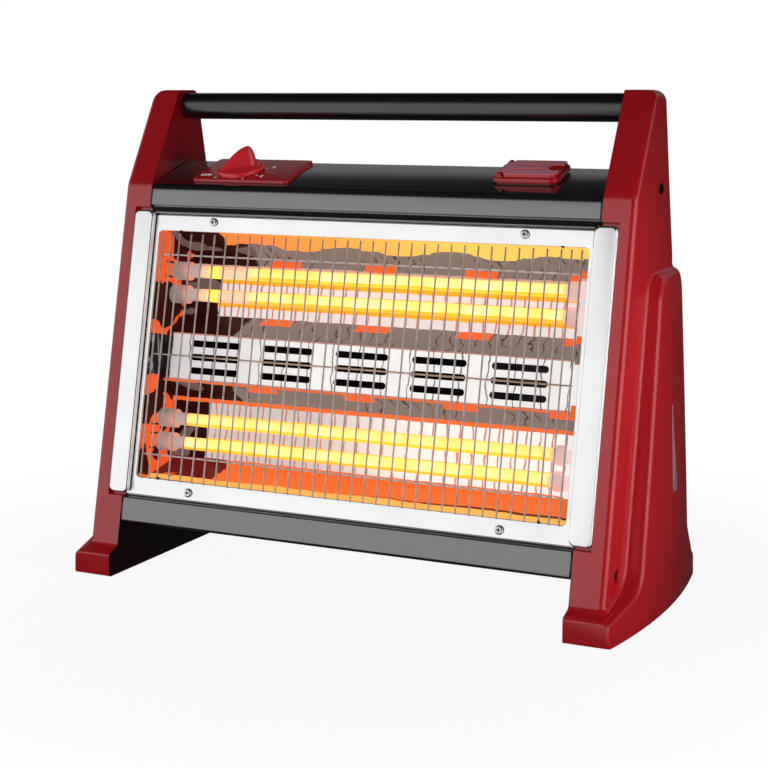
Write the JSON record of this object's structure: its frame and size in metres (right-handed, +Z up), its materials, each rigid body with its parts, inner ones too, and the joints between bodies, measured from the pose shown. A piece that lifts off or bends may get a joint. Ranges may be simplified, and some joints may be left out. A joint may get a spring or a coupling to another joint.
{
  "type": "quartz heater",
  "caption": "Free-standing radiant heater: quartz tubes in bright troughs behind a wire grille, leaning housing between moulded side frames with a tube handle, dial and water filler.",
  "frame": {"origin": "on the floor, at the middle of the box round the whole heater", "axes": "+X to the right along the handle, seen from the front; the front faces -Y; +Z up"},
  "size_m": [0.5288, 0.244, 0.434],
  "materials": {
    "red_plastic": "gloss red",
    "black_paint": "gloss black enamel",
    "bright_steel": "bright plated",
    "reflector": "polished",
    "quartz": "milky quartz",
    "hot_wire": "glowing resistance wire",
    "ceramic": "steatite ceramic",
    "steel": "zinc plated",
    "brass": "plain",
    "black_plastic": "matt",
    "rubber": "matt",
    "clear_plastic": "translucent"
  },
  "bodies": {
    "housing": {"left_side_frame": "red_plastic", "right_side_frame": "red_plastic", "control_plate": "red_plastic", "filler_frame": "red_plastic", "handle_tube": "black_paint", "top_cover": "black_paint", "rear_panel": "black_paint", "bottom_pan": "black_paint", "left_side_panel": "black_paint", "right_side_panel": "black_paint", "front_frame": "bright_steel", "left_trim": "bright_steel", "right_trim": "bright_steel", "grille": "bright_steel", "upper_reflector": "reflector", "lower_reflector": "reflector", "vent_panel": "reflector", "left_end_plate": "reflector", "right_end_plate": "reflector", "quartz_tube_1": "quartz", "quartz_tube_2": "quartz", "quartz_tube_3": "quartz", "quartz_tube_4": "quartz", "heating_coil_1": "hot_wire", "heating_coil_2": "hot_wire", "heating_coil_3": "hot_wire", "heating_coil_4": "hot_wire", "ceramic_caps": "ceramic", "terminal_block": "ceramic", "tube_holders": "steel", "lid_hinge_pin": "steel", "front_frame_screws": "steel", "side_screws": "steel", "rear_screws": "steel", "tube_terminals": "brass", "rotary_switch": "black_plastic", "cord_gland": "black_plastic", "tip_over_switch": "black_plastic", "neck_seal": "rubber", "foot_pads": "rubber", "wiring": "rubber", "water_tank": "clear_plastic", "water_level_window": "clear_plastic"},
    "knob": {"knob": "red_plastic", "switch_shaft": "steel"},
    "lid": {"tank_lid": "red_plastic"}
  },
  "joints": [
    {"name": "knob_turn", "type": "hinge", "parent": "housing", "child": "knob", "pos_m": [-0.138, -0.00989, 0.35832], "axis": [0, -0.3007, 0.9537], "range_deg": [0, 270]},
    {"name": "lid_hinge", "type": "hinge", "parent": "housing", "child": "lid", "pos_m": [0.1155, -0.0032, 0.36704], "axis": [0, -0.9537, -0.3007], "range_deg": [0, 100]}
  ]
}
